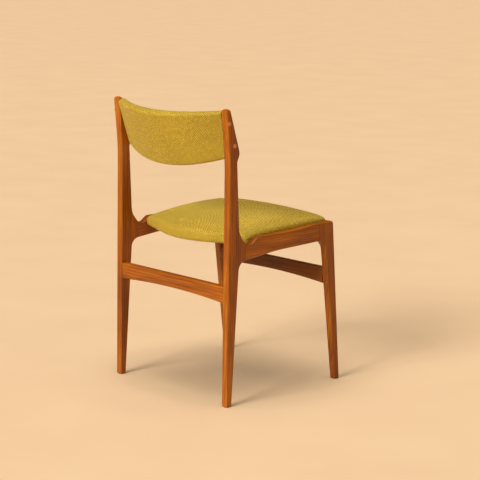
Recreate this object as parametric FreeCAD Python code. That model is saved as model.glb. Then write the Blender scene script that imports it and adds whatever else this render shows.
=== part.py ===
import FreeCAD, Part
import math
import os

# Dining chair with a solid wood frame, an upholstered seat between its rails and a curved upholstered back.
# Millimetres. +Z is up, the sitter faces -Y, and +X is the sitter's left.
# The origin is on the floor, under the middle of the whole chair's box.

os.makedirs("parts", exist_ok=True)
Vector = FreeCAD.Vector
AXIS_X = Vector(1, 0, 0)
AXIS_Y = Vector(0, 1, 0)
AXIS_Z = Vector(0, 0, 1)
FAR = 500.0                    # beyond the chair in every direction

# ---- Driving dimensions ----

HEIGHT = 800.0                 # top of the posts above the floor
GLIDE_THICK = 2.5              # the wood starts this far above the floor
FRAME_OUTER_X = 236.3          # outer face of each side frame
FRAME_THICK_LOW = 20.6         # side frame's thickness at the floor
FRAME_THICK_HIGH = 24.4        # side frame's thickness at the top
RAIL_THICK = 22.6              # the rails are as thick as the posts at their height
EDGE_ROUND = 3.6               # rounding along the side frames' edges
POST_TOP_ROUND = 12.0          # rounding of the posts' tops, seen from behind
REAR_FOOT_Y = (169.6, 188.6)   # front and rear edges of the feet
FRONT_FOOT_Y = (-245.1, -227.8)
REAR_JOINT_Y = 120.5           # joint between rear post and rail
FRONT_JOINT_Y = -160.0         # joint between rail and front leg

STRETCHER_TOP = 326.4
STRETCHER_BOTTOM = 279.3       # underside at the ends
STRETCHER_ARCH = 11.0          # rise of the underside at the middle
STRETCHER_THICK = 20.4
STRETCHER_ROUND = 2.0
REAR_STRETCHER_Y = 169.0       # middle of the thickness
FRONT_STRETCHER_Y = -205.6
FRONT_STRETCHER_LEAN = 6.3     # degrees, along the front legs' rear edges

DOWEL_RADIUS = 4.0
DOWEL_BEVEL = 0.8
DOWEL_END_ROOM = 1.0           # the holes are this much deeper than the dowels
RAIL_DOWEL_HALF = 18.0         # half the length of a rail dowel
RAIL_DOWEL_SPACING = 20.0
REAR_DOWEL_Z = 415.0           # middle of each pair of rail dowels
FRONT_DOWEL_Z = 431.0
STRETCHER_DOWEL_IN_POST = 13.0
STRETCHER_DOWEL_IN_BAR = 20.0

# The back leans by an angle; "out" is measured rearward, square to the lean, and "up" along it.
BACK_LEAN = math.radians(17.2)
BACK_FOOT_Y = 150.8            # rear surface of the back's end, where "up" is zero
BACK_FOOT_Z = 664.0
BACK_HALF_WIDTH = 211.6
BACK_BULGE = 58.0              # the middle stands this much further back than the ends
BACK_THICK_END = 28.0
BACK_THICK_MIDDLE = 34.0
BACK_TOP_END = 131.5
BACK_TOP_MIDDLE = 135.0
BACK_BOTTOM_END = 4.0
BACK_BOTTOM_MIDDLE = -16.0
BACK_EDGE_ROUND = 12.0
BACK_STATIONS = 9              # cross-sections along the back's width
COVER_THICK = 1.3              # fabric of both covers
CORE_BEHIND = 3.4              # padding between the rear surface and the plywood shell
CORE_THICK = 8.0
CORE_MARGIN = 5.0              # padding over the shell's upper and lower edges
BLOCK_LENGTH = 30.0
BLOCK_THICK = 10.0             # the screw blocks lie on the front of the shell
BLOCK_MARGIN = 12.0            # distance of the blocks from the back's lower and upper edges
LAYER_UP = (-60.0, 190.0)      # the layers of the back are drawn taller than the back itself

SCREW_UP = (38.8, 100.6)       # heights of the two screws of each side, along the lean
SCREW_OUT = -5.6
BACK_SCREW_HEAD_X = 229.8      # outer end of the screw's head
BACK_SCREW_LENGTH = 44.0
SCREW_RADIUS = 2.2
SCREW_HEAD_RADIUS = 4.4
SCREW_HEAD_LENGTH = 3.2
SCREW_TIP = 5.0
PLUG_RADIUS = 6.2
PLUG_PROUD = 2.2
PLUG_DOME_RADIUS = 11.6

# The seat is drawn level, with "level" height zero at the underside of its board, and then tilted.
SEAT_TILT = 2.86               # degrees, front edge up
SEAT_PIVOT_Y = 144.0
SEAT_PIVOT_Z = 424.0
SEAT_HALF_WIDTH = 213.0
SEAT_REAR_CORNER_Y = 87.0
SEAT_REAR_PEAK_Y = 165.6       # where the two straight halves of the rear edge would meet
SEAT_REAR_BEND = 260.0
SEAT_FRONT_CORNER_Y = -208.0
SEAT_FRONT_PEAK_Y = -224.0
SEAT_FRONT_BEND = 900.0
SEAT_CORNER_ROUND = 15.0
SEAT_HEIGHT = 51.5             # highest point of the pad above the board's underside
SEAT_DOME_RADIUS = 1620.0
SEAT_DOME_Y = -30.0
SEAT_TOP_ROUND = 13.0
SEAT_BOTTOM_ROUND = 4.0
PAN_THICK = 12.0
TURN_UNDER = 32.0              # width of the fabric folded under the board
DUST_INSET = 24.0
DUST_THICK = 0.6

CLEAT_WIDTH = 20.0
CLEAT_HEIGHT = 20.0
CLEAT_REAR_Y = 55.0
CLEAT_FRONT_Y = -150.0
CLEAT_SCREW_Y = (-105.0, -48.0, 10.0)
CLEAT_SCREW_LENGTH = 34.0
SEAT_SCREW_Y = (-132.0, 36.0)
SEAT_SCREW_LENGTH = 30.0

STAPLE_WIDTH = 9.0
STAPLE_WIRE = 0.7
STAPLE_LEG = 6.0
STAPLE_INSET = 5.0             # distance of the staples from the dust cover's edge
SIDE_STAPLE_Y = (-150.0, -90.0, -30.0, 30.0)
FRONT_STAPLE_X = (-150.0, -90.0, -30.0, 30.0, 90.0, 150.0)
REAR_STAPLE_X = (-130.0, -65.0, 0.0, 65.0, 130.0)

GLIDE_RADIUS = 7.5
GLIDE_BEVEL = 0.5
NAIL_RADIUS = 1.2
NAIL_HEAD_RADIUS = 3.0
NAIL_HEAD_THICK = 0.8
NAIL_LENGTH = 16.0
NAIL_TIP = 2.0
NAIL_SUNK = 0.8                # height of the nail's head above the glide's sole

RAIL_INNER_X = FRAME_OUTER_X - RAIL_THICK

# Side frame seen from the side: (y, z, rounding of the corner), going up the rear edge and back round.
SIDE_OUTLINE = [
    (REAR_FOOT_Y[1], GLIDE_THICK, 0.0),
    (173.9, 662.0, 800.0),           # gentle bend where the post starts to lean back
    (185.2, HEIGHT, 6.6),            # domed top
    (172.0, HEIGHT, 7.9),
    (137.2, 680.0, 28.0),            # foremost point of the post, below the back
    (147.1, 660.0, 25.0),
    (140.4, 467.0, 50.0),            # sweep from the post into the rail
    (115.5, 434.6, 22.0),
    (97.0, 434.6, 18.0),             # bottom of the hollow
    (75.5, 449.5, 12.0),             # rail's top edge
    (-70.0, 452.0, 900.0),
    (-214.7, 460.8, 9.0),            # front corner
    (FRONT_FOOT_Y[0], GLIDE_THICK, 0.0),
    (FRONT_FOOT_Y[1], GLIDE_THICK, 0.0),
    (-183.2, 409.1, 33.0),           # sweep from the front leg into the rail
    (0.0, 404.6, 600.0),             # rail's underside
    (140.9, 390.5, 27.0),            # sweep from the rail into the rear leg
    (REAR_FOOT_Y[0], GLIDE_THICK, 0.0),
]


# ---- Drawing helpers ----

def in_side_plane(x):
    """Placing function for outlines drawn as (y, z) on the plane X = x."""
    return lambda y, z: Vector(x, y, z)


def in_level_plane(z):
    """Placing function for outlines drawn as (x, y) at the height z."""
    return lambda x, y: Vector(x, y, z)


def rounded_wire(corners, place):
    """Closed wire through (u, v, rounding) corners; a tangent arc replaces every rounded corner."""
    ends = []
    for index, (u, v, rounding) in enumerate(corners):
        corner = Vector(u, v, 0)
        before = Vector(*corners[index - 1][:2], 0) - corner
        after = Vector(*corners[(index + 1) % len(corners)][:2], 0) - corner
        before.normalize()
        after.normalize()
        half_angle = before.getAngle(after) / 2
        reach = rounding / math.tan(half_angle)
        bisector = before + after
        bisector.normalize()
        depth = rounding / math.sin(half_angle) - rounding
        ends.append((corner + before * reach, corner + bisector * depth, corner + after * reach, rounding))
    edges = []
    for index, (start, middle, finish, rounding) in enumerate(ends):
        if rounding > 0:
            arc_points = [place(point.x, point.y) for point in (start, middle, finish)]
            edges.append(Part.Arc(*arc_points).toShape())
        following = ends[(index + 1) % len(ends)][0]
        if finish.distanceToPoint(following) > 1e-6:
            line_start = place(finish.x, finish.y)
            line_end = place(following.x, following.y)
            edges.append(Part.LineSegment(line_start, line_end).toShape())
    return Part.Wire(edges)


def extruded(corners, place, direction):
    """Solid made by pushing a rounded outline along a direction."""
    return Part.Face(rounded_wire(corners, place)).extrude(direction)


def box(low, high):
    """Box between two corners."""
    size = Vector(*high) - Vector(*low)
    return Part.makeBox(size.x, size.y, size.z, Vector(*low))


def mirrored(shape):
    """The same piece for the other side of the chair."""
    return shape.mirror(Vector(0, 0, 0), AXIS_X)


def both_sides(pieces):
    """Pieces of the left side, followed by their mirror images."""
    return pieces + [mirrored(piece) for piece in pieces]


def dowel(centre, direction, length_before, length_after):
    """Round dowel with bevelled ends, reaching to both sides of a centre on its axis."""
    length = length_before + length_after
    profile = Part.makePolygon([
        Vector(0, 0, 0),
        Vector(DOWEL_RADIUS - DOWEL_BEVEL, 0, 0),
        Vector(DOWEL_RADIUS, 0, DOWEL_BEVEL),
        Vector(DOWEL_RADIUS, 0, length - DOWEL_BEVEL),
        Vector(DOWEL_RADIUS - DOWEL_BEVEL, 0, length),
        Vector(0, 0, length),
        Vector(0, 0, 0),
    ])
    return revolved(profile, centre - direction * length_before, direction)


def dowel_hole(centre, direction, length_before, length_after):
    """Drilling for a dowel, a little deeper than the dowel at both ends."""
    start = centre - direction * (length_before + DOWEL_END_ROOM)
    depth = length_before + length_after + 2 * DOWEL_END_ROOM
    return Part.makeCylinder(DOWEL_RADIUS, depth, start, direction)


def revolved(profile, start, direction):
    """Turn a profile drawn in the XZ plane about Z, then stand it at a start point along a direction."""
    solid = Part.Face(Part.Wire(profile.Edges)).revolve(Vector(0, 0, 0), AXIS_Z, 360)
    solid.Placement = FreeCAD.Placement(start, FreeCAD.Rotation(AXIS_Z, direction))
    return Part.Solid(solid) if solid.ShapeType == "Shell" else solid


def screw(head_point, direction, length):
    """Countersunk screw whose head starts at a point and whose tip lies along a direction."""
    profile = Part.makePolygon([
        Vector(0, 0, 0),
        Vector(SCREW_HEAD_RADIUS, 0, 0),
        Vector(SCREW_RADIUS, 0, SCREW_HEAD_LENGTH),
        Vector(SCREW_RADIUS, 0, length - SCREW_TIP),
        Vector(0, 0, length),
        Vector(0, 0, 0),
    ])
    return revolved(profile, head_point, direction)


def cut_by(shape, tools):
    """Shape with every tool taken away."""
    for tool in tools:
        shape = shape.cut(tool)
    return shape


def save(name, shape):
    """Write one node's solids."""
    solids = shape.Solids
    kept = solids[0] if len(solids) == 1 else Part.makeCompound(solids)
    for solid in solids:
        if not solid.isValid():
            print("not valid:", name)
    kept.exportStep("parts/" + name + ".step")
    print(name, len(solids), round(sum(solid.Volume for solid in solids)))


def frame_thickness(z):
    """Thickness of a side frame at a height."""
    return FRAME_THICK_LOW + (FRAME_THICK_HIGH - FRAME_THICK_LOW) * z / HEIGHT


def inner_face_x(z):
    """Inner face of the left side frame at a height."""
    return FRAME_OUTER_X - frame_thickness(z)


# ---- Side frames ----

def side_slab():
    """Space between the outer and the inner face of the left legs and post, which thickens upward."""
    section = [
        (FRAME_OUTER_X, 0.0, 0.0),
        (FRAME_OUTER_X, 2 * FAR, 0.0),
        (inner_face_x(2 * FAR), 2 * FAR, 0.0),
        (inner_face_x(0.0), 0.0, 0.0),
    ]
    return extruded(section, lambda x, z: Vector(x, -FAR, z), Vector(0, 2 * FAR, 0))


def post_top_space():
    """Space under a rounded roof, which domes the left post's top from side to side."""
    section = [
        (FRAME_OUTER_X, 0.0, 0.0),
        (FRAME_OUTER_X, HEIGHT, POST_TOP_ROUND),
        (inner_face_x(HEIGHT), HEIGHT, POST_TOP_ROUND),
        (inner_face_x(0.0), 0.0, 0.0),
    ]
    return extruded(section, lambda x, z: Vector(x, -FAR, z), Vector(0, 2 * FAR, 0))


def rail_slab():
    """Space between the faces of the left rail, whose thickness doesn't change."""
    return box((RAIL_INNER_X, -FAR, 0), (FRAME_OUTER_X, FAR, HEIGHT))


def runs_along_face(edge):
    """True for an edge of the outer or the inner face, but not at a joint or round the sole of a foot."""
    samples = edge.discretize(5)
    inner = [min(abs(point.x - inner_face_x(point.z)), abs(point.x - RAIL_INNER_X)) for point in samples]
    in_outer = all(abs(point.x - FRAME_OUTER_X) < 0.01 for point in samples)
    in_inner = all(distance < 0.01 for distance in inner)
    at_sole = all(abs(point.z - GLIDE_THICK) < 0.01 for point in samples)
    at_joint = any(
        all(abs(point.y - joint_y) < 0.01 for point in samples)
        for joint_y in (REAR_JOINT_Y, FRONT_JOINT_Y)
    )
    return (in_outer or in_inner) and not at_sole and not at_joint


def side_piece(slab, low_y, high_y):
    """Part of the left side frame inside a slab and between two joints, with its long edges rounded."""
    blank = extruded(SIDE_OUTLINE, in_side_plane(FAR), Vector(-FAR, 0, 0))
    piece = blank.common(box((0, low_y, 0), (FAR, high_y, 2 * FAR))).common(slab).Solids[0]
    return piece.makeFillet(EDGE_ROUND, [edge for edge in piece.Edges if runs_along_face(edge)])


def rail_joint(joint_y, middle_z):
    """The two dowels of a rail joint, and the drillings for them."""
    dowels = []
    holes = []
    for offset in (-RAIL_DOWEL_SPACING / 2, RAIL_DOWEL_SPACING / 2):
        centre = Vector((FRAME_OUTER_X + RAIL_INNER_X) / 2, joint_y, middle_z + offset)
        dowels.append(dowel(centre, AXIS_Y, RAIL_DOWEL_HALF, RAIL_DOWEL_HALF))
        holes.append(dowel_hole(centre, AXIS_Y, RAIL_DOWEL_HALF, RAIL_DOWEL_HALF))
    return dowels, holes


# ---- Stretchers ----

def stretcher_blank(middle_y, lean):
    """Arched bar, too long at both ends, leaning about its own middle."""
    half = FRAME_OUTER_X
    low_left = Vector(-half, 0, STRETCHER_BOTTOM)
    low_right = Vector(half, 0, STRETCHER_BOTTOM)
    top_left = Vector(-half, 0, STRETCHER_TOP)
    top_right = Vector(half, 0, STRETCHER_TOP)
    arch = Part.Arc(low_left, Vector(0, 0, STRETCHER_BOTTOM + STRETCHER_ARCH), low_right).toShape()
    edges = [
        arch,
        Part.LineSegment(low_right, top_right).toShape(),
        Part.LineSegment(top_right, top_left).toShape(),
        Part.LineSegment(top_left, low_left).toShape(),
    ]
    bar = Part.Face(Part.Wire(edges)).extrude(Vector(0, STRETCHER_THICK, 0))
    long_edges = [edge for edge in bar.Edges if edge.BoundBox.XLength > half]
    bar = bar.makeFillet(STRETCHER_ROUND, long_edges)
    bar.translate(Vector(0, middle_y - STRETCHER_THICK / 2, 0))
    bar.rotate(Vector(0, middle_y, (STRETCHER_TOP + STRETCHER_BOTTOM) / 2), AXIS_X, lean)
    return bar


def stretcher_dowel_points(middle_y, lean):
    """Where the two dowels of a stretcher's left end cross the post's inner face."""
    points = []
    middle_z = (STRETCHER_TOP + STRETCHER_BOTTOM) / 2
    for offset in (-RAIL_DOWEL_SPACING / 2, RAIL_DOWEL_SPACING / 2):
        z = middle_z + offset * math.cos(math.radians(lean))
        y = middle_y - offset * math.sin(math.radians(lean))
        points.append(Vector(inner_face_x(z), y, z))
    return points


def stretcher(middle_y, lean):
    """Bar cut to length between the side frames, its dowels, and the drillings of its left end."""
    reach = (STRETCHER_DOWEL_IN_BAR, STRETCHER_DOWEL_IN_POST)
    points = stretcher_dowel_points(middle_y, lean)
    holes = [dowel_hole(point, AXIS_X, *reach) for point in points]
    dowels = [dowel(point, AXIS_X, *reach) for point in points]
    pieces = cut_by(stretcher_blank(middle_y, lean), both_sides([side_slab()])).Solids
    bar = max(pieces, key=lambda solid: solid.Volume)
    return cut_by(bar, both_sides(holes)), both_sides(dowels), holes


# ---- Curved back ----

def back_point(x, out, up):
    """Point of the back from its width, rearward and lengthwise measures."""
    y = BACK_FOOT_Y + out * math.cos(BACK_LEAN) + up * math.sin(BACK_LEAN)
    z = BACK_FOOT_Z - out * math.sin(BACK_LEAN) + up * math.cos(BACK_LEAN)
    return Vector(x, y, z)


def middle_share(x):
    """0 at the back's ends and 1 at its middle, along a parabola."""
    return 1 - (x / BACK_HALF_WIDTH) ** 2


def blend(at_end, at_middle, x):
    """Measure that runs from its end value to its middle value."""
    return at_end + (at_middle - at_end) * middle_share(x)


def back_loft(section):
    """Solid through the cross-sections that a function draws at evenly spaced stations."""
    step = 2 * BACK_HALF_WIDTH / (BACK_STATIONS - 1)
    wires = []
    for index in range(BACK_STATIONS):
        x = -BACK_HALF_WIDTH + index * step
        wires.append(rounded_wire(section(x), lambda out, up, x=x: back_point(x, out, up)))
    return Part.makeLoft(wires, True, False)


def back_section(inset):
    """Function that draws the padded section, shrunk by an inset."""
    def section(x):
        rear = BACK_BULGE * middle_share(x) - inset
        front = rear + 2 * inset - blend(BACK_THICK_END, BACK_THICK_MIDDLE, x)
        bottom = blend(BACK_BOTTOM_END, BACK_BOTTOM_MIDDLE, x) + inset
        top = blend(BACK_TOP_END, BACK_TOP_MIDDLE, x) - inset
        rounding = BACK_EDGE_ROUND - inset
        return [
            (rear, bottom, rounding),
            (rear, top, rounding),
            (front, top, rounding),
            (front, bottom, rounding),
        ]
    return section


def layer_section(behind, thick):
    """Function that draws a tall strip of the shell's thickness, following the bulge."""
    def section(x):
        rear = BACK_BULGE * middle_share(x) - behind
        front = rear - thick
        low, high = LAYER_UP
        return [(rear, low, 0.0), (rear, high, 0.0), (front, high, 0.0), (front, low, 0.0)]
    return section


def core_room_section(x):
    """Section of the room for the plywood shell, short of the padding's upper and lower edges."""
    rear = BACK_BULGE * middle_share(x)
    front = rear - BACK_THICK_MIDDLE
    low = blend(BACK_BOTTOM_END, BACK_BOTTOM_MIDDLE, x) + CORE_MARGIN
    high = blend(BACK_TOP_END, BACK_TOP_MIDDLE, x) - CORE_MARGIN
    return [(rear, low, 0.0), (rear, high, 0.0), (front, high, 0.0), (front, low, 0.0)]


def back_block_space(side):
    """Upright room for one screw block at an end of the back."""
    outer = side * (BACK_HALF_WIDTH - COVER_THICK)
    inner = side * (BACK_HALF_WIDTH - BLOCK_LENGTH)
    low = BACK_BOTTOM_END + BLOCK_MARGIN
    high = BACK_TOP_END - BLOCK_MARGIN
    reach = BACK_BULGE
    corners = [(-reach, low, 0.0), (reach, low, 0.0), (reach, high, 0.0), (-reach, high, 0.0)]
    return extruded(corners, lambda out, up: back_point(outer, out, up), Vector(inner - outer, 0, 0))


def back_screw_points():
    """Outer ends of the heads of the left side's two screws."""
    points = []
    for up in SCREW_UP:
        on_axis = back_point(0, SCREW_OUT, up)
        points.append(Vector(BACK_SCREW_HEAD_X, on_axis.y, on_axis.z))
    return points


def plug(head_point):
    """Domed wooden plug over one screw of the left side."""
    top_x = FRAME_OUTER_X + PLUG_PROUD
    rod = Part.makeCylinder(PLUG_RADIUS, top_x - head_point.x, head_point, AXIS_X)
    dome_centre = Vector(top_x - PLUG_DOME_RADIUS, head_point.y, head_point.z)
    return rod.common(Part.makeSphere(PLUG_DOME_RADIUS, dome_centre)).Solids[0]


# ---- Seat ----

def tilted(shape):
    """Turn a piece that was drawn level into the seat's tilt."""
    shape = shape.copy()
    shape.translate(Vector(0, 0, SEAT_PIVOT_Z))
    shape.rotate(Vector(0, SEAT_PIVOT_Y, SEAT_PIVOT_Z), AXIS_X, -SEAT_TILT)
    return shape


def seat_corners(inset):
    """Plan of the seat, shrunk by an inset."""
    half = SEAT_HALF_WIDTH - inset
    rounding = max(SEAT_CORNER_ROUND - inset, 2.0)
    return [
        (half, SEAT_REAR_CORNER_Y - inset, rounding),
        (0.0, SEAT_REAR_PEAK_Y - inset, SEAT_REAR_BEND),
        (-half, SEAT_REAR_CORNER_Y - inset, rounding),
        (-half, SEAT_FRONT_CORNER_Y + inset, rounding),
        (0.0, SEAT_FRONT_PEAK_Y + inset, SEAT_FRONT_BEND),
        (half, SEAT_FRONT_CORNER_Y + inset, rounding),
    ]


def seat_prism(inset, low, high):
    """Upright solid on the seat's plan, between two heights."""
    return extruded(seat_corners(inset), in_level_plane(low), Vector(0, 0, high - low))


def seat_pad(inset):
    """Crowned pad with rounded edges, shrunk by an inset; the board is its lowest layer."""
    top = SEAT_HEIGHT - inset
    low = inset - COVER_THICK
    dome = Part.makeSphere(SEAT_DOME_RADIUS, Vector(0, SEAT_DOME_Y, top - SEAT_DOME_RADIUS))
    pad = seat_prism(inset, low, SEAT_HEIGHT + 20).common(dome).Solids[0]
    crown_edges = [edge for edge in pad.Edges if edge.BoundBox.ZMin > SEAT_HEIGHT / 2]
    pad = pad.makeFillet(SEAT_TOP_ROUND - inset, crown_edges)
    sole_edges = [edge for edge in pad.Edges if edge.BoundBox.ZMax < low + 0.01]
    return pad.makeFillet(SEAT_BOTTOM_ROUND - inset, sole_edges)


def cleat():
    """Left batten under the seat board, before it is drilled."""
    low = (SEAT_HALF_WIDTH - CLEAT_WIDTH, CLEAT_FRONT_Y, -COVER_THICK - CLEAT_HEIGHT)
    high = (RAIL_INNER_X, CLEAT_REAR_Y, -COVER_THICK)
    return tilted(box(low, high))


def seat_screw_set():
    """Two screws of the left side, up through the batten into the board."""
    x = SEAT_HALF_WIDTH - CLEAT_WIDTH / 2
    heads = [Vector(x, y, -COVER_THICK - CLEAT_HEIGHT) for y in SEAT_SCREW_Y]
    return [tilted(screw(head, AXIS_Z, SEAT_SCREW_LENGTH)) for head in heads]


def cleat_screw_set():
    """Screws of the left side, sideways through the batten into the rail."""
    screws = []
    for y in CLEAT_SCREW_Y:
        board_z = SEAT_PIVOT_Z + (SEAT_PIVOT_Y - y) * math.tan(math.radians(SEAT_TILT))
        head = Vector(SEAT_HALF_WIDTH - CLEAT_WIDTH, y, board_z - COVER_THICK - CLEAT_HEIGHT / 2)
        screws.append(screw(head, AXIS_X, CLEAT_SCREW_LENGTH))
    return screws


def staple(x, y, turned):
    """One wire staple under the dust cover, with its crown along X, or along Y when turned."""
    bottom = -COVER_THICK - DUST_THICK
    half = STAPLE_WIDTH / 2
    wire = STAPLE_WIRE
    crown = box((-half, -wire / 2, bottom - wire), (half, wire / 2, bottom))
    legs = [
        box((-half, -wire / 2, bottom), (-half + wire, wire / 2, bottom + STAPLE_LEG)),
        box((half - wire, -wire / 2, bottom), (half, wire / 2, bottom + STAPLE_LEG)),
    ]
    piece = crown.fuse(legs).removeSplitter()
    if turned:
        piece.rotate(Vector(0, 0, 0), AXIS_Z, 90)
    piece.translate(Vector(x, y, 0))
    return tilted(piece)


def seat_edge_y(x, corner_y, peak_y, bend):
    """Front or rear edge of the seat's plan: two straight halves joined by a bend at the middle."""
    slope = abs(peak_y - corner_y) / SEAT_HALF_WIDTH
    drop = abs(x) * slope
    if drop < bend * slope ** 2:
        drop = (x / bend) ** 2 * bend / 2 + bend * slope ** 2 / 2
    return peak_y - math.copysign(drop, peak_y - corner_y)


def staple_set():
    """Staples along the four edges of the dust cover."""
    inset = DUST_INSET + STAPLE_INSET
    staples = []
    for y in SIDE_STAPLE_Y:
        staples.append(staple(SEAT_HALF_WIDTH - inset, y, True))
        staples.append(staple(inset - SEAT_HALF_WIDTH, y, True))
    for x in FRONT_STAPLE_X:
        edge_y = seat_edge_y(x, SEAT_FRONT_CORNER_Y, SEAT_FRONT_PEAK_Y, SEAT_FRONT_BEND)
        staples.append(staple(x, edge_y + inset, False))
    for x in REAR_STAPLE_X:
        edge_y = seat_edge_y(x, SEAT_REAR_CORNER_Y, SEAT_REAR_PEAK_Y, SEAT_REAR_BEND)
        staples.append(staple(x, edge_y - inset, False))
    return staples


# ---- Feet ----

def foot_centre(foot_y):
    """Middle of a foot's sole."""
    return Vector(FRAME_OUTER_X - frame_thickness(0) / 2, sum(foot_y) / 2, 0)


def glide(centre):
    """Round glide with a softened lower edge."""
    disc = Part.makeCylinder(GLIDE_RADIUS, GLIDE_THICK, centre)
    sole_edges = [edge for edge in disc.Edges if edge.BoundBox.ZMax < 0.01]
    return disc.makeChamfer(GLIDE_BEVEL, sole_edges)


def glide_nail(centre):
    """Nail from inside the glide up into the foot."""
    profile = Part.makePolygon([
        Vector(0, 0, 0),
        Vector(NAIL_HEAD_RADIUS, 0, 0),
        Vector(NAIL_HEAD_RADIUS, 0, NAIL_HEAD_THICK),
        Vector(NAIL_RADIUS, 0, NAIL_HEAD_THICK),
        Vector(NAIL_RADIUS, 0, NAIL_LENGTH - NAIL_TIP),
        Vector(0, 0, NAIL_LENGTH),
        Vector(0, 0, 0),
    ])
    return revolved(profile, centre + AXIS_Z * NAIL_SUNK, AXIS_Z)


# ---- Build ----

def save_pair(name, pieces):
    """Write a node of the left side and its mirror image."""
    group = Part.makeCompound(pieces)
    save(name + "_left", group)
    save(name + "_right", mirrored(group))


def build_frame(back_screws, plugs, cleat_screws, nails):
    """Posts, rails, legs and stretchers, with the dowels between them."""
    rear_dowels, rear_holes = rail_joint(REAR_JOINT_Y, REAR_DOWEL_Z)
    front_dowels, front_holes = rail_joint(FRONT_JOINT_Y, FRONT_DOWEL_Z)
    rear_bar, rear_bar_dowels, rear_bar_holes = stretcher(REAR_STRETCHER_Y, 0.0)
    front_bar, front_bar_dowels, front_bar_holes = stretcher(FRONT_STRETCHER_Y, FRONT_STRETCHER_LEAN)
    post = side_piece(side_slab(), REAR_JOINT_Y, FAR).common(post_top_space())
    rail = side_piece(rail_slab(), FRONT_JOINT_Y, REAR_JOINT_Y)
    leg = side_piece(side_slab(), -FAR, FRONT_JOINT_Y)
    save_pair("rear_post", [cut_by(post, rear_holes + rear_bar_holes + nails + back_screws + plugs)])
    save_pair("side_rail", [cut_by(rail, rear_holes + front_holes + cleat_screws)])
    save_pair("front_leg", [cut_by(leg, front_holes + front_bar_holes + nails)])
    save_pair("rear_joint_dowels", rear_dowels)
    save_pair("front_joint_dowels", front_dowels)
    save("rear_stretcher", rear_bar)
    save("front_stretcher", front_bar)
    save("rear_stretcher_dowels", Part.makeCompound(rear_bar_dowels))
    save("front_stretcher_dowels", Part.makeCompound(front_bar_dowels))


def build_back(back_screws):
    """Plywood shell with its padding, screw blocks and cover."""
    outer = back_loft(back_section(0.0))
    inner = back_loft(back_section(COVER_THICK))
    shell_layer = back_loft(layer_section(CORE_BEHIND, CORE_THICK))
    core = inner.common(shell_layer).common(back_loft(core_room_section))
    rear_layer = back_loft(layer_section(CORE_BEHIND - FAR / 10, FAR / 10))
    block_layer = back_loft(layer_section(CORE_BEHIND + CORE_THICK, BLOCK_THICK))
    blocks = [back_block_space(side).common(block_layer) for side in (1, -1)]
    screws = both_sides(back_screws)
    save("back_screws", Part.makeCompound(screws))
    save("back_cover", outer.cut(inner))
    save("back_core", cut_by(core, screws))
    save("back_rear_padding", inner.common(rear_layer))
    save("back_front_foam", cut_by(inner.cut(rear_layer), [core] + blocks + screws))
    save("back_block_left", cut_by(blocks[0], screws))
    save("back_block_right", cut_by(blocks[1], screws))


def build_seat(cleat_screws):
    """Seat board with its foam, cover, dust cover and battens."""
    outer = seat_pad(0.0)
    inner = seat_pad(COVER_THICK)
    opening = seat_prism(TURN_UNDER, -COVER_THICK - 1, 1.0)
    board_space = seat_prism(-TURN_UNDER, -COVER_THICK - 1, PAN_THICK)
    dust_cover = seat_prism(DUST_INSET, -COVER_THICK - DUST_THICK, -COVER_THICK)
    staples = staple_set()
    seat_screws = seat_screw_set()
    screws = both_sides(seat_screws)
    save("seat_cover", cut_by(tilted(outer.cut(inner).cut(opening)), staples + screws))
    save("seat_pan", cut_by(tilted(inner.common(board_space)), staples + screws))
    save("seat_foam", cut_by(tilted(inner.cut(board_space)), screws))
    save("seat_dust_cover", cut_by(tilted(dust_cover), staples))
    save("seat_staples", Part.makeCompound(staples))
    save("seat_screws", Part.makeCompound(screws))
    save_pair("seat_cleat", [cut_by(cleat(), seat_screws + cleat_screws)])
    save_pair("cleat_screws", cleat_screws)


def build_feet(foot_centres, nails):
    """Nail-on glides under the feet."""
    for name, centre in foot_centres.items():
        save_pair("glide_" + name, [cut_by(glide(centre), nails)])
    save("glide_nails", Part.makeCompound(both_sides(nails)))


screw_heads = back_screw_points()
left_back_screws = [screw(head, -AXIS_X, BACK_SCREW_LENGTH) for head in screw_heads]
left_plugs = [plug(head) for head in screw_heads]
left_cleat_screws = cleat_screw_set()
left_feet = {"rear": foot_centre(REAR_FOOT_Y), "front": foot_centre(FRONT_FOOT_Y)}
left_nails = [glide_nail(centre) for centre in left_feet.values()]

build_frame(left_back_screws, left_plugs, left_cleat_screws, left_nails)
save_pair("screw_plugs", left_plugs)
build_back(left_back_screws)
build_seat(left_cleat_screws)
build_feet(left_feet, left_nails)
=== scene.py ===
import math

import bpy
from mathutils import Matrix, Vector, noise


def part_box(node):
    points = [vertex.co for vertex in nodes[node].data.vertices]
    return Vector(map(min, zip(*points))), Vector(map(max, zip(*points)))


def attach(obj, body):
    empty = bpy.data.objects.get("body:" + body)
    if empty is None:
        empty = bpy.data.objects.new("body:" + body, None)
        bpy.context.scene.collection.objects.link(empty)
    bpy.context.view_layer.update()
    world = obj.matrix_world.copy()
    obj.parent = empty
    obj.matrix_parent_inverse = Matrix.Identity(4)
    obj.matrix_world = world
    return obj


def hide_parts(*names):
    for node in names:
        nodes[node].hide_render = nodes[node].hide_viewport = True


# Dining chair: a lacquered teak frame with an upholstered seat and a curved upholstered back.
# Metres. +Z is up, the sitter faces -Y and +X is the sitter's left.

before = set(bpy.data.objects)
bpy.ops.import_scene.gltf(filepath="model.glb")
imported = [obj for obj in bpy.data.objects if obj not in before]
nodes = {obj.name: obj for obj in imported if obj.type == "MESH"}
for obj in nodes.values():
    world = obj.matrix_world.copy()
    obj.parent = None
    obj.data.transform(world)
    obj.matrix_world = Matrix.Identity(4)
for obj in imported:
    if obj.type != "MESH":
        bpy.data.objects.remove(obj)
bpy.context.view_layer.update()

MM = 0.001

# ---- Camera ----

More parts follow.
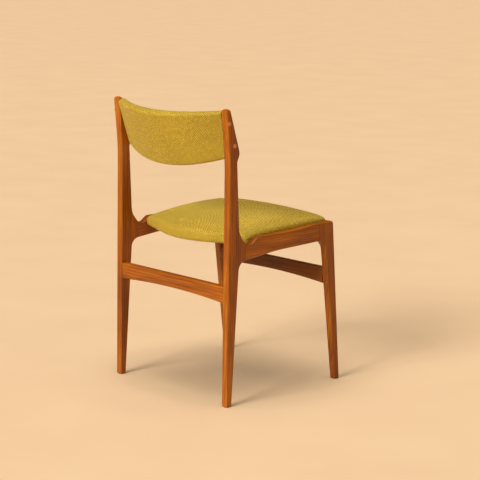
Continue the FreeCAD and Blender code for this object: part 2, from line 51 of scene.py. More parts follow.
CAMERA_PLACE = (-3.2762, 2.9407, 1.2507)
CAMERA_HEADING = math.radians(132.66)      # clockwise from +Y, seen from above
CAMERA_DROP = math.radians(10.94)          # below the horizon
CAMERA_LENS = 119.62                       # millimetres, for a sensor this wide
CAMERA_SENSOR = 36.0

# ---- Seat pad ----

SEAT_TILT = math.radians(2.86)             # front edge up
SEAT_CROWN = 31 * MM                       # top of the dome above its rim
SEAT_WALL = 20 * MM                        # height of the wall below the rim
SEAT_ACROSS_POWER = 0.28                   # how the dome rises from the rails; lower is steeper
SEAT_REAR_POWER = 0.40                     # the same from the rear edge
SEAT_FRONT_POWER = 0.26                    # and from the front edge
SEAT_REAR_SLOPE = 0.355                    # the rear edge's straight halves, seen from above
SEAT_REAR_BEND = 260 * MM                  # radius of the bend between them
SEAT_FRONT_BOW = 8 * MM                    # how far the front edge's ends lie behind its middle
SEAT_CORNER_POWER = 55                     # higher is squarer
SEAT_SIDE_GAP = 0.1 * MM                   # between the pad and the rails
SEAT_REAR_MARGIN = 1.5 * MM                # room inside the CAD cover, before the walls bulge
SEAT_FRONT_MARGIN = 0.5 * MM
SEAT_UNDER_ROUND = 6 * MM
SEAT_HEM = 33 * MM                         # fabric folded under the board
SEAT_LIP_INSET = 0.5 * MM                  # the hem's cut edge turns up into the pad
SEAT_LIP_HEIGHT = 1.2 * MM
SEAT_WALL_BULGE = 1.2 * MM                 # at half height, on the front and rear walls
SEAT_TOP_SWELL = 4 * MM                    # how far the cloth may blow up on top
SEAT_SIDE_SWELL = 1.5 * MM                 # and on the walls
SEAT_CELL = 5.5 * MM
SEAT_ACROSS_CURVE = 2.25                   # about the dome's length from rail to rail, in half widths
SEAT_ALONG_CURVE = 2.2                     # and from front to rear, in half depths
CURVE_SAMPLES = 4000
DART_CELLS = 4                             # how far a dart runs in from its corner

# ---- Back pad ----

BACK_LEAN = math.radians(17.2)             # from the vertical
BACK_BULGE = 58 * MM                       # how far its middle lies behind its ends
BACK_THICK_END = 28 * MM
BACK_THICK_MIDDLE = 34 * MM
BACK_TOP_END = 131.5 * MM
BACK_TOP_MIDDLE = 135 * MM
BACK_BOTTOM_END = 4 * MM
BACK_BOTTOM_MIDDLE = -16 * MM
BACK_ROUND = 11 * MM
BACK_RIDGE_ROUND = 6.5 * MM                # tighter along the upper rear edge
BACK_LOWER_ROUND = 7.5 * MM                # tighter along the closing seam
BACK_END_ROUND = 3 * MM                    # where the pad meets the posts
BACK_ROUND_LOSS = 0.8                      # the roundings shrink by this share of an end's inset
BACK_FRONT_SWELL = 5 * MM                  # how far the cloth may blow up at the front
BACK_REAR_SWELL = 1.6 * MM
BACK_PINNED_ROWS = 4                       # at each end
BACK_CAP_SHARES = (0.8, 0.55, 0.3)         # sizes of the rings that close an end
BACK_FACE_CELLS = 22
BACK_ARC_CELLS = 5
BACK_EDGE_CELLS = 2
BACK_CELL = 5.5 * MM

# ---- Sewing ----

SEAM_DEPTH = 1.4 * MM
SEAM_WIDTH = 1.7 * MM
SEAM_FADE = 3                              # a seam's groove ends at this many widths
STITCH_LENGTH = 3.4 * MM
STITCH_STEP = 7.0 * MM
STITCH_SLANT = (0.8, 0.6)                  # a stitch's direction, along and across the seam
STITCH_SIDES = 6
STITCH_RINGS = (                           # share of the length, share of the radius, height in radii
    (-0.5, 0.35, -1.0),
    (-0.25, 1.0, 0.3),
    (0.0, 1.1, 0.7),
    (0.25, 1.0, 0.3),
    (0.5, 0.35, -1.0),
)
THREAD_RADIUS = 0.5 * MM

# ---- Cloth simulation ----

CLOTH_FRAMES = 20
CLOTH_PRESSURE = 4.0
CLOTH_QUALITY = 6
CLOTH_MASS = 0.3
CLOTH_STRETCH_STIFFNESS = 25.0
CLOTH_SHEAR_STIFFNESS = 12.0
CLOTH_BEND_STIFFNESS = 2.0
CLOTH_AIR_DAMPING = 2.0

# ---- Dust cover ----

DUST_INSET = 22 * MM
DUST_GAP = 0.2 * MM                        # below the folded hem
DUST_SAG = 2.88 * MM                       # in the middle, without the wrinkles
DUST_WRINKLE = 1.08 * MM
DUST_LONG_WAVES = (22.0, 9.0, 3.7)         # how fast they change along X and Y, and a noise level
DUST_SHORT_WAVES = 55.0
DUST_THICK = 0.5 * MM
DUST_CELLS = 44

# ---- Wood ----

TEAK_STOPS = [
    (0.34, (0.07, 0.012, 0.001)),
    (0.48, (0.21, 0.046, 0.001)),
    (0.60, (0.35, 0.090, 0.001)),
    (0.74, (0.54, 0.175, 0.006)),
]
PLUG_STOPS = [(0.3, (0.34, 0.10, 0.025)), (0.6, (0.52, 0.18, 0.06)), (0.8, (0.62, 0.26, 0.10))]
BEECH_STOPS = [(0.3, (0.42, 0.26, 0.14)), (0.6, (0.58, 0.40, 0.24)), (0.8, (0.68, 0.50, 0.32))]
PLYWOOD_STOPS = [(0.2, (0.36, 0.21, 0.10)), (0.8, (0.62, 0.44, 0.25))]
FRONT_LEG_PAINTED_SHADE = 0.85                     # painted shade: share of the other boards' brightness, darkening the front boards for the shade under the seat
FRONT_STRETCHER_PAINTED_SHADE = 0.72
GRAIN_STRETCH = (1.0, 1.0, 0.055)          # patterns change this much slower along the fibres
BROAD_STRETCH = (1.0, 1.0, 0.25)
PORE_STRETCH = (1.0, 1.0, 0.03)
RING_SCALE = 52.0
STREAK_SCALE = 420.0
FLAME_SCALE = 70.0
VEIN_SCALE = 34.0
BROAD_SCALE = 14.0
PORE_SCALE = 1500.0
TONE_START = 0.14                          # the tone is this plus a share of each pattern
RING_SHARE = 0.07
STREAK_SHARE = 0.20
FLAME_SHARE = 0.24
BROAD_SHARE = 0.34
VEIN_DARKNESS = 0.26
PORE_DARKNESS = 0.30
JOINT_DARKNESS = 0.6
JOINT_COLOUR = (0.035, 0.012, 0.004)
JOINT_CORE = 0.4 * MM                      # half width of a glue line, and where it has faded out
JOINT_EDGE = 1.0 * MM
PLY_THICKNESS = 1.5 * MM

# ---- Fabric ----

FABRIC_WARP = [(0.0, (0.60, 0.40, 0.030)), (1.0, (0.98, 0.69, 0.088))]
FABRIC_WEFT = [(0.0, (0.13, 0.08, 0.004)), (1.0, (0.30, 0.195, 0.014))]
LINING_STOPS = [(0.0, (0.012, 0.012, 0.013)), (1.0, (0.05, 0.05, 0.052))]
WEAVE_PITCH = 2.8 * MM
WEAVE_UNDER = 0.15                         # height of a yarn where it passes under
WEAVE_CREST = 0.8
WEAVE_PAINTED_SHADE = (0.22, 1.15)                 # painted shade in the gaps between yarns and painted highlight on their crests
SLUB_LONG = 0.3                            # slubs change this slowly along a yarn
SLUB_SHORT = 0.95                          # and this fast from yarn to yarn
TUFT_SCALE = 300.0
TUFT_SHADE = (0.76, 1.18)
CLOUD_SCALE = 9.0
CLOUD_SHADE = (0.94, 1.05)
FIBRE_SCALE = 2600.0

# ---- Metal and plastic ----

STEEL_STOPS = [(0.0, (0.36, 0.35, 0.33)), (1.0, (0.55, 0.54, 0.52))]
PLASTIC_STOPS = [(0.0, (0.018, 0.014, 0.011)), (1.0, (0.045, 0.036, 0.030))]

# ---- Studio ----

FLOOR_HALF = 40.0
FLOOR_STOPS = [(0.3, (0.65, 0.47, 0.31)), (0.7, (0.68, 0.50, 0.33))]
WORLD_COLOUR = (1.0, 0.83, 0.63, 1.0)
WORLD_STRENGTH = 0.06
LIGHTS = (                                 # name, side it shines from, power, spread in degrees, colour
    ("key", (-0.05, 0.86, 0.50), 3.15, 24.0, (1.0, 0.95, 0.82)),
    ("ceiling", (0.0, 0.1, 1.0), 2.7, 50.0, (1.0, 0.90, 0.76)),
    ("fill", (-1.0, 0.1, 0.7), 0.20, 50.0, (1.0, 0.92, 0.80)),
)


# ---- Materials ----

MIX_FIRST, MIX_SECOND, MIX_RESULT = 6, 7, 2    # the Mix node's colour sockets

GRAIN_TURN = {
    "X": (0.0, math.pi / 2, 0.0),
    "Y": (math.pi / 2, 0.0, 0.0),
    "Z": (0.0, 0.0, 0.0),
}


class Shader:
    """One material's node tree, with short calls for the nodes that it needs."""

    def __init__(self, name):
        self.material = bpy.data.materials.new(name)
        self.material.use_nodes = True
        self.tree = self.material.node_tree
        self.tree.nodes.clear()
        self.surface = self.add("ShaderNodeBsdfPrincipled")
        output = self.add("ShaderNodeOutputMaterial")
        self.tree.links.new(self.surface.outputs["BSDF"], output.inputs["Surface"])

    def add(self, kind, inputs=None, **settings):
        made = self.tree.nodes.new(kind)
        for key, value in settings.items():
            setattr(made, key, value)
        for key, value in (inputs or {}).items():
            self.put(made.inputs[key], value)
        return made

    def put(self, socket, value):
        if isinstance(value, bpy.types.NodeSocket):
            self.tree.links.new(value, socket)
        else:
            socket.default_value = value

    def set(self, **values):
        """Inputs of the surface shader, with spaces in their names written as underscores."""
        for key, value in values.items():
            self.put(self.surface.inputs[key.replace("_", " ")], value)

    def math(self, operation, first, second=0.0, third=0.0):
        inputs = {0: first, 1: second, 2: third}
        return self.add("ShaderNodeMath", inputs, operation=operation).outputs[0]

    def scaled(self, vector, factors):
        inputs = {0: vector, 1: factors}
        return self.add("ShaderNodeVectorMath", inputs, operation="MULTIPLY").outputs[0]

    def noise(self, vector, scale, detail=2.0, roughness=0.5):
        inputs = {"Vector": vector, "Scale": scale, "Detail": detail, "Roughness": roughness}
        return self.add("ShaderNodeTexNoise", inputs).outputs["Fac"]

    def fit(self, value, low, high, new_low=0.0, new_high=1.0):
        inputs = {
            "Value": value,
            "From Min": low,
            "From Max": high,
            "To Min": new_low,
            "To Max": new_high,
        }
        return self.add("ShaderNodeMapRange", inputs).outputs["Result"]

    def ramp(self, factor, stops):
        made = self.add("ShaderNodeValToRGB", {"Fac": factor})
        elements = made.color_ramp.elements
        while len(elements) < len(stops):
            elements.new(0.5)
        for element, (position, colour) in zip(elements, stops):
            element.position = position
            element.color = (*colour, 1.0)
        return made.outputs["Color"]

    def mix(self, factor, first, second, blend="MIX"):
        made = self.add("ShaderNodeMix", data_type="RGBA", blend_type=blend)
        self.put(made.inputs["Factor"], factor)
        for socket, value in ((MIX_FIRST, first), (MIX_SECOND, second)):
            self.put(made.inputs[socket], (*value, 1.0) if isinstance(value, tuple) else value)
        return made.outputs[MIX_RESULT]

    def bump(self, height, distance, strength=1.0):
        inputs = {"Height": height, "Distance": distance, "Strength": strength}
        self.set(Normal=self.add("ShaderNodeBump", inputs).outputs["Normal"])


def growth_rings(shader, stretched):
    """Rings about the Z axis, bent by noise."""
    inputs = {
        "Vector": stretched,
        "Scale": RING_SCALE,
        "Distortion": 5.5,
        "Detail": 3.0,
        "Detail Scale": 1.6,
        "Detail Roughness": 0.6,
    }
    rings = shader.add("ShaderNodeTexWave", inputs, wave_type="RINGS", rings_direction="Z")
    return rings.outputs["Fac"]


def wood(name, grain, pith, stops, seed, joints=(), roughness=(0.36, 0.50), coat=0.25):
    """Wood with growth rings about a pith line, streaks, dark veins, pores and broad colour changes.

    grain is the axis that the fibres follow, pith and seed choose the part of the pattern, joints
    are the places along Y of its glue lines, and coat is the weight of the lacquer.
    """
    shader = Shader(name)
    place = shader.add("ShaderNodeTexCoord").outputs["Object"]
    mapping = {"Vector": place, "Rotation": GRAIN_TURN[grain], "Location": (*pith, seed)}
    turned = shader.add("ShaderNodeMapping", mapping).outputs["Vector"]
    stretched = shader.scaled(turned, GRAIN_STRETCH)
    rings = growth_rings(shader, stretched)
    streaks = shader.noise(stretched, STREAK_SCALE, 3.0, 0.6)
    broad = shader.noise(shader.scaled(turned, BROAD_STRETCH), BROAD_SCALE, 2.0)
    flames = shader.noise(stretched, FLAME_SCALE, 2.0, 0.55)
    tone = shader.math("MULTIPLY_ADD", rings, RING_SHARE, TONE_START)
    tone = shader.math("MULTIPLY_ADD", streaks, STREAK_SHARE, tone)
    tone = shader.math("MULTIPLY_ADD", flames, FLAME_SHARE, tone)
    tone = shader.math("MULTIPLY_ADD", broad, BROAD_SHARE, tone)
    colour = shader.ramp(tone, stops)
    darkest = stops[0][1]
    vein_noise = shader.noise(stretched, VEIN_SCALE, 2.0, 0.6)
    vein_distance = shader.math("ABSOLUTE", shader.math("SUBTRACT", vein_noise, 0.5))
    colour = shader.mix(shader.fit(vein_distance, 0.004, 0.022, VEIN_DARKNESS, 0.0), colour, darkest)
    pores = shader.noise(shader.scaled(turned, PORE_STRETCH), PORE_SCALE, 1.0)
    pore_dark = shader.fit(pores, 0.60, 0.72)
    colour = shader.mix(shader.math("MULTIPLY", pore_dark, PORE_DARKNESS), colour, darkest)
    if joints:
        along_y = shader.add("ShaderNodeSeparateXYZ", {0: place}).outputs["Y"]
        for joint in joints:
            distance = shader.math("ABSOLUTE", shader.math("SUBTRACT", along_y, joint))
            line = shader.fit(distance, JOINT_CORE, JOINT_EDGE, JOINT_DARKNESS, 0.0)
            colour = shader.mix(line, colour, JOINT_COLOUR)
    shader.set(
        Base_Color=colour,
        Roughness=shader.fit(streaks, 0.3, 0.7, *roughness),
        Specular_IOR_Level=0.30,
        Specular_Tint=(1.0, 0.82, 0.55, 1.0),
        Coat_Weight=coat,
        Coat_Roughness=0.25,
    )
    height = shader.math("MULTIPLY_ADD", pore_dark, -0.6, shader.math("MULTIPLY", streaks, 0.4))
    shader.bump(height, 0.15 * MM, 0.6)
    return shader.material


def woven(name, warp, weft, pitch):
    """Wool cloth in a plain weave with uneven yarns, laid out by the mesh's weave coordinates."""
    shader = Shader(name)
    coordinates = shader.add("ShaderNodeUVMap", uv_map="weave").outputs["UV"]
    threads = shader.scaled(coordinates, (1 / pitch, 1 / pitch, 1.0))
    parts = shader.add("ShaderNodeSeparateXYZ", {0: threads}).outputs
    wave_u = shader.math("SINE", shader.math("MULTIPLY", parts["X"], math.pi))
    wave_v = shader.math("SINE", shader.math("MULTIPLY", parts["Y"], math.pi))
    side_u = shader.math("SIGN", wave_u)
    side_v = shader.math("SIGN", wave_v)
    over_warp = shader.fit(shader.math("MULTIPLY", side_u, wave_v), -1.0, 1.0, WEAVE_UNDER, 1.0)
    over_weft = shader.fit(shader.math("MULTIPLY", side_v, wave_u), -1.0, 1.0, 1.0, WEAVE_UNDER)
    warp_height = shader.math("MULTIPLY", shader.math("ABSOLUTE", wave_u), over_warp)
    weft_height = shader.math("MULTIPLY", shader.math("ABSOLUTE", wave_v), over_weft)
    height = shader.math("MAXIMUM", warp_height, weft_height)
    warp_on_top = shader.math("GREATER_THAN", warp_height, weft_height)
    warp_slubs = shader.noise(shader.scaled(threads, (SLUB_SHORT, SLUB_LONG, 1.0)), 1.0, 1.0, 0.7)
    weft_slubs = shader.noise(shader.scaled(threads, (SLUB_LONG, SLUB_SHORT, 1.0)), 1.0, 1.0, 0.7)
    warp_colour = shader.ramp(shader.fit(warp_slubs, 0.32, 0.68), warp)
    weft_colour = shader.ramp(shader.fit(weft_slubs, 0.32, 0.68), weft)
    colour = shader.mix(warp_on_top, weft_colour, warp_colour)
    place = shader.add("ShaderNodeTexCoord").outputs["Object"]
    tufts = shader.noise(place, TUFT_SCALE, 1.0, 0.7)
    clouds = shader.noise(place, CLOUD_SCALE, 2.0)
    shade = shader.fit(tufts, 0.36, 0.64, *TUFT_SHADE)
    shade = shader.math("MULTIPLY", shade, shader.fit(clouds, 0.3, 0.7, *CLOUD_SHADE))
    # Painted shade in the gaps between the yarns and a painted highlight on their crests, from the
    # weave's height.
    shade = shader.math("MULTIPLY", shade, shader.fit(height, WEAVE_UNDER, WEAVE_CREST, *WEAVE_PAINTED_SHADE))
    shader.set(
        Base_Color=shader.mix(1.0, colour, shade, "MULTIPLY"),
        Roughness=0.58,
        Sheen_Weight=0.22,
        Sheen_Roughness=0.4,
        Sheen_Tint=(1.0, 0.85, 0.35, 1.0),
        Specular_IOR_Level=0.32,
        Specular_Tint=(1.0, 0.86, 0.5, 1.0),
    )
    fibres = shader.noise(place, FIBRE_SCALE, 2.0, 0.7)
    shader.bump(shader.math("MULTIPLY_ADD", fibres, 0.35, height), 0.7 * MM, 0.8)
    return shader.material


def speckled(name, stops, scale, roughness, metal=0.0):
    """Plain material with mottled colour and a fine uneven surface."""
    shader = Shader(name)
    place = shader.add("ShaderNodeTexCoord").outputs["Object"]
    mottle = shader.noise(place, scale, 3.0, 0.6)
    shader.set(
        Base_Color=shader.ramp(shader.fit(mottle, 0.3, 0.7), stops),
        Roughness=shader.fit(mottle, 0.3, 0.7, *roughness),
        Metallic=metal,
    )
    shader.bump(mottle, 0.1 * MM, 0.5)
    return shader.material


def plies(name, sheet_thickness):
    """Plywood whose edge shows light and dark sheets."""
    shader = Shader(name)
    place = shader.add("ShaderNodeTexCoord").outputs["Object"]
    height = shader.add("ShaderNodeSeparateXYZ", {0: place}).outputs["Z"]
    layer = shader.math("SINE", shader.math("MULTIPLY", height, math.pi / sheet_thickness))
    fibres = shader.noise(shader.scaled(place, (1.0, 0.08, 1.0)), 500.0, 2.0)
    tone = shader.math("MULTIPLY_ADD", layer, 0.2, fibres)
    shader.set(
        Base_Color=shader.ramp(tone, PLYWOOD_STOPS),
        Roughness=shader.fit(fibres, 0.3, 0.7, 0.55, 0.75),
    )
    shader.bump(fibres, 0.1 * MM, 0.5)
    return shader.material


# ---- Mesh building ----

class Cloth:
    """Mesh being gathered, with weave coordinates for every corner of every face."""

    def __init__(self):
        self.points = []
        self.faces = []
        self.weave = []

    def point(self, place):
        self.points.append(Vector(place))
        return len(self.points) - 1

    def face(self, corners):
        """Add a face from (point number, weave coordinates) pairs."""
        self.faces.append([number for number, _ in corners])
        self.weave += [coordinates for _, coordinates in corners]

    def strip(self, first, second):
        """Add faces between two rows of (point number, weave coordinates) pairs."""
        for index in range(len(first) - 1):
            self.face([first[index], first[index + 1], second[index + 1], second[index]])

    def build(self, name):
        mesh = bpy.data.meshes.new(name)
        mesh.from_pydata(self.points, [], self.faces)
        layer = mesh.uv_layers.new(name="weave")
        for corner, coordinates in zip(layer.data, self.weave):
            corner.uv = coordinates
        mesh.polygons.foreach_set("use_smooth", [True] * len(mesh.polygons))
        piece = bpy.data.objects.new(name, mesh)
        bpy.context.scene.collection.objects.link(piece)
        return piece


def shift_into_box(points, low, high):
    """Move points along Y and Z so that their box shares its middle with another box."""
    for axis in (1, 2):
        values = [point[axis] for point in points]
        shift = (low[axis] + high[axis]) / 2 - (min(values) + max(values)) / 2
        for point in points:
            point[axis] += shift


def inflate(piece, pinned, reach):
    """Cloth simulation: blow the pad up between its pinned points, each point moving at most its reach.

    No point moves inward.
    """
    group = piece.vertex_groups.new(name="pinned")
    group.add(pinned, 1.0, "REPLACE")
    modifier = piece.modifiers.new("cloth", "CLOTH")
    settings = modifier.settings
    settings.quality = CLOTH_QUALITY
    settings.mass = CLOTH_MASS
    settings.tension_stiffness = CLOTH_STRETCH_STIFFNESS
    settings.compression_stiffness = CLOTH_STRETCH_STIFFNESS
    settings.shear_stiffness = CLOTH_SHEAR_STIFFNESS
    settings.bending_stiffness = CLOTH_BEND_STIFFNESS
    settings.air_damping = CLOTH_AIR_DAMPING
    settings.use_pressure = True
    settings.uniform_pressure_force = CLOTH_PRESSURE
    settings.vertex_group_mass = "pinned"
    settings.effector_weights.gravity = 0.0
    modifier.collision_settings.use_collision = False
    scene = bpy.context.scene
    modifier.point_cache.frame_start = 1
    modifier.point_cache.frame_end = CLOTH_FRAMES
    for number in range(1, CLOTH_FRAMES + 1):
        scene.frame_set(number)
    blown = piece.evaluated_get(bpy.context.evaluated_depsgraph_get()).data
    places = [vertex.co.copy() for vertex in blown.vertices]
    piece.modifiers.remove(modifier)
    piece.vertex_groups.remove(group)
    scene.frame_set(1)
    normals = [vertex.normal.copy() for vertex in piece.data.vertices]
    for vertex, normal, place, limit in zip(piece.data.vertices, normals, places, reach):
        step = place - vertex.co
        step -= normal * min(0.0, step.dot(normal))
        if step.length > limit:
            step = step.normalized() * limit
        vertex.co += step


def apply_subdivision(piece):
    """Subdivide the mesh once, for good."""
    modifier = piece.modifiers.new("subdivision", "SUBSURF")
    modifier.levels = 1
    subdivided = piece.evaluated_get(bpy.context.evaluated_depsgraph_get())
    finer = bpy.data.meshes.new_from_object(subdivided)
    piece.modifiers.remove(modifier)
    piece.data = finer


def nearest_on_line(line, place):
    """Distance from a place to a broken line."""
    best = math.inf
    for first, second in zip(line, line[1:]):
        along = second - first
        share = max(0.0, min(1.0, (place - first).dot(along) / along.length_squared))
        best = min(best, (first + along * share - place).length)
    return best


def crease(piece, line, depth, width):
    """Press a sewn groove into the mesh along a broken line."""
    reach = SEAM_FADE * width
    low = Vector(min(point[axis] for point in line) - reach for axis in range(3))
    high = Vector(max(point[axis] for point in line) + reach for axis in range(3))
    pressed = []
    for vertex in piece.data.vertices:
        if all(low[axis] < vertex.co[axis] < high[axis] for axis in range(3)):
            distance = nearest_on_line(line, vertex.co)
            if distance < reach:
                pressed.append((vertex, vertex.normal.copy(), math.exp(-(distance / width) ** 2)))
    for vertex, normal, share in pressed:
        vertex.co -= normal * depth * share


def stitch(cloth, centre, along, side):
    """Add one short thread that slants over a seam and dips into the cloth at both ends."""
    up = along.cross(side).normalized()
    axis = (along * STITCH_SLANT[0] + side * STITCH_SLANT[1]).normalized()
    wide = axis.cross(up).normalized()
    rings = []
    for share, radius, height in STITCH_RINGS:
        middle = centre + axis * STITCH_LENGTH * share + up * THREAD_RADIUS * height
        ring = []
        for corner in range(STITCH_SIDES):
            angle = 2 * math.pi * corner / STITCH_SIDES
            offset = (wide * math.cos(angle) + up * math.sin(angle)) * THREAD_RADIUS * radius
            coordinates = (corner * THREAD_RADIUS, share * STITCH_LENGTH)
            ring.append((cloth.point(middle + offset), coordinates))
        rings.append(ring)
    for before, after in zip(rings, rings[1:]):
        cloth.strip(before + before[:1], after + after[:1])
    cloth.face(list(reversed(rings[0])))
    cloth.face(rings[-1])


def back_stitches(line, across):
    """Evenly spaced stitches over a seam, given as a broken line and the direction across it."""
    cloth = Cloth()
    travelled = 0.0
    wanted = STITCH_STEP
    for first, second, side in zip(line, line[1:], across):
        step = (second - first).length
        along = (second - first).normalized()
        while wanted <= travelled + step:
            centre = first.lerp(second, (wanted - travelled) / step)
            stitch(cloth, centre, along, side.normalized())
            wanted += STITCH_STEP
        travelled += step
    piece = cloth.build("back_stitches")
    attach(piece, "root")
    return piece


# ---- Seat pad ----

def even_steps(rise, length, count):
    """Evenly spaced steps along the curve of a rise over a half length.

    A step is its value, from -1 to 1, and its distance along the curve from the middle.
    """
    samples = CURVE_SAMPLES
    values = [-1 + 2 * index / samples for index in range(samples + 1)]
    travelled = [0.0]
    for before, after in zip(values, values[1:]):
        step = math.hypot((after - before) * length, rise(after) - rise(before))
        travelled.append(travelled[-1] + step)
    steps = []
    cursor = 0
    for index in range(count + 1):
        wanted = travelled[-1] * index / count
        while cursor < samples and travelled[cursor + 1] < wanted:
            cursor += 1
        span = travelled[min(cursor + 1, samples)] - travelled[cursor]
        share = (wanted - travelled[cursor]) / span if span > 0 else 0.0
        steps.append((values[cursor] + share * 2 / samples, wanted - travelled[-1] / 2))
    return steps


def seat_crown(s, t):
    """Height of the seat's dome above its rim; s runs from rail to rail, t from front to rear."""
    across = max(0.0, 1 - s * s) ** SEAT_ACROSS_POWER
    along = max(0.0, 1 - t * t) ** (SEAT_REAR_POWER if t > 0 else SEAT_FRONT_POWER)
    return SEAT_CROWN * across * along


class SeatPlan:
    """Outline of the seat between the rails, drawn level, and the tilt that brings it into place."""

    def __init__(self):
        self.low, self.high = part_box("seat_cover")
        self.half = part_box("side_rail_left")[0].x - SEAT_SIDE_GAP
        self.rear = self.high.y - SEAT_REAR_MARGIN
        self.front = self.low.y + SEAT_FRONT_MARGIN
        self.shift = None

    def rear_edge(self, x):
        """Rear edge of the plan: two straight halves joined by a bend."""
        flat_end = SEAT_REAR_BEND * SEAT_REAR_SLOPE
        if abs(x) < flat_end:
            return self.rear - x * x / (2 * SEAT_REAR_BEND)
        bend_drop = flat_end ** 2 / (2 * SEAT_REAR_BEND)
        return self.rear - bend_drop - (abs(x) - flat_end) * SEAT_REAR_SLOPE

    def place(self, s, t, inset, height):
        """Point above the plan, whose corners are rounded and whose outline is shrunk by an inset."""
        reach = max(abs(s), abs(t))
        if reach > 0:
            power = SEAT_CORNER_POWER
            shrink = reach / (abs(s) ** power + abs(t) ** power) ** (1 / power)
            s *= shrink
            t *= shrink
        rear_y = self.rear_edge(s * self.half) - inset
        front_y = self.front + SEAT_FRONT_BOW * s * s + inset
        y = front_y + (rear_y - front_y) * (t + 1) / 2
        return Vector((s * (self.half - inset), y, height))

    def settle(self, points):
        """Tilt points and move them into the seat's box; the pad comes first and settles the move."""
        cos, sin = math.cos(SEAT_TILT), math.sin(SEAT_TILT)
        for point in points:
            y, z = point.y, point.z
            point.y = y * cos + z * sin
            point.z = z * cos - y * sin
        if self.shift is None:
            across = [point.y for point in points]
            lift = self.low.z - min(point.z for point in points)
            slide = (self.low.y + self.high.y) / 2 - (min(across) + max(across)) / 2
            self.shift = Vector((0.0, slide, lift))
        for point in points:
            point += self.shift


def seat_profile():
    """Steps down the wall, round its lower edge and in under the board.

    A step is its inset, its height and its distance from the rim.
    """
    straight = SEAT_WALL - SEAT_UNDER_ROUND
    profile = []
    for step in (0.25, 0.5, 0.75, 1.0):
        profile.append((0.0, SEAT_WALL - straight * step, straight * step))
    for angle in (30, 60, 90):
        turn = math.radians(angle)
        inset = SEAT_UNDER_ROUND * (1 - math.cos(turn))
        height = SEAT_UNDER_ROUND * (1 - math.sin(turn))
        profile.append((inset, height, straight + SEAT_UNDER_ROUND * turn))
    for share in (0.15, 0.33, 0.52, 0.7, 0.87, 1.0):
        inset = SEAT_UNDER_ROUND + (SEAT_HEM - SEAT_UNDER_ROUND) * share
        profile.append((inset, 0.0, profile[-1][2] + inset - profile[-1][0]))
    lip = math.hypot(SEAT_LIP_INSET, SEAT_LIP_HEIGHT)
    profile.append((SEAT_HEM + SEAT_LIP_INSET, SEAT_LIP_HEIGHT, profile[-1][2] + lip))
    return profile


def rim_places(last_column, last_line):
    """(column, line) places round the grid's rim: front edge, left edge, rear edge, right edge."""
    rim = [(column, 0) for column in range(last_column)]
    rim += [(last_column, line) for line in range(last_line)]
    rim += [(column, last_line) for column in range(last_column, 0, -1)]
    rim += [(0, line) for line in range(last_line, 0, -1)]
    return rim


def outward_directions(places):
    """Level directions that point out of a closed row of places."""
    outward = []
    for index in range(len(places)):
        before = places[index - 1]
        after = places[(index + 1) % len(places)]
        along = (after - before).normalized()
        outward.append((along.y, -along.x))
    return outward


def seat_pad(seat):
    """Crowned seat upholstery, folded under the board, with a dart at every corner."""
    length = (seat.rear - seat.front) / 2
    column_count = round(SEAT_ACROSS_CURVE * seat.half / SEAT_CELL)
    line_count = round(SEAT_ALONG_CURVE * length / SEAT_CELL)
    columns = even_steps(lambda s: seat_crown(s, 0.0), seat.half, column_count)
    lines = even_steps(lambda t: seat_crown(0.0, t), length, line_count)
    last_column = len(columns) - 1
    last_line = len(lines) - 1
    cloth = Cloth()
    top = {}
    for line, (t, v) in enumerate(lines):
        for column, (s, u) in enumerate(columns):
            place = seat.place(s, t, 0.0, SEAT_WALL + seat_crown(s, t))
            top[column, line] = (cloth.point(place), (u, v))
    for line in range(last_line):
        row = [top[column, line] for column in range(last_column + 1)]
        following = [top[column, line + 1] for column in range(last_column + 1)]
        cloth.strip(row, following)

    rim = rim_places(last_column, last_line)
    outward = outward_directions([cloth.points[top[place][0]] for place in rim])
    corners = []
    darts = []
    for index, (column, line) in enumerate(rim):
        if column in (0, last_column) and line in (0, last_line):
            inward = (1 if column == 0 else -1, 1 if line == 0 else -1)
            steps = range(DART_CELLS, -1, -1)
            corners.append(index)
            darts.append([top[column + inward[0] * step, line + inward[1] * step][0] for step in steps])

    ring = [top[place] for place in rim]
    for inset, height, travelled in seat_profile():
        following = []
        for (column, line), (out_x, out_y) in zip(rim, outward):
            place = seat.place(columns[column][0], lines[line][0], inset, height)
            if 0 < height < SEAT_WALL:
                bulge = math.sin(math.pi * height / SEAT_WALL) * SEAT_WALL_BULGE * abs(out_y)
                place += Vector((out_x * bulge, out_y * bulge, 0.0))
            u, v = top[column, line][1]
            following.append((cloth.point(place), (u + out_x * travelled, v + out_y * travelled)))
        cloth.strip(following + following[:1], ring + ring[:1])
        for dart, index in zip(darts, corners):
            if height > 0:
                dart.append(following[index][0])
        ring = following

    closing = dict(zip(rim, ring))
    for line in range(1, last_line):
        for column in range(1, last_column):
            s, u = columns[column]
            t, v = lines[line]
            place = seat.place(s, t, SEAT_HEM + SEAT_LIP_INSET, SEAT_LIP_HEIGHT)
            closing[column, line] = (cloth.point(place), (u, v))
    for line in range(last_line):
        row = [closing[column, line] for column in range(last_column + 1)]
        following = [closing[column, line + 1] for column in range(last_column + 1)]
        cloth.strip(following, row)
    seat.settle(cloth.points)

    piece = cloth.build("seat_upholstery")
    first_pinned = len(top) + len(rim)
    pinned = list(range(first_pinned, len(cloth.points)))
    others = len(cloth.points) - len(top)
    inflate(piece, pinned, [SEAT_TOP_SWELL] * len(top) + [SEAT_SIDE_SWELL] * others)
    for vertex in piece.data.vertices:
        vertex.co.x = max(-seat.half, min(seat.half, vertex.co.x))
    dart_lines = [[piece.data.vertices[number].co.copy() for number in dart] for dart in darts]
    apply_subdivision(piece)
    for line in dart_lines:
        crease(piece, line, SEAM_DEPTH, SEAM_WIDTH)
    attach(piece, "root")
    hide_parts("seat_cover", "seat_foam")
    return piece


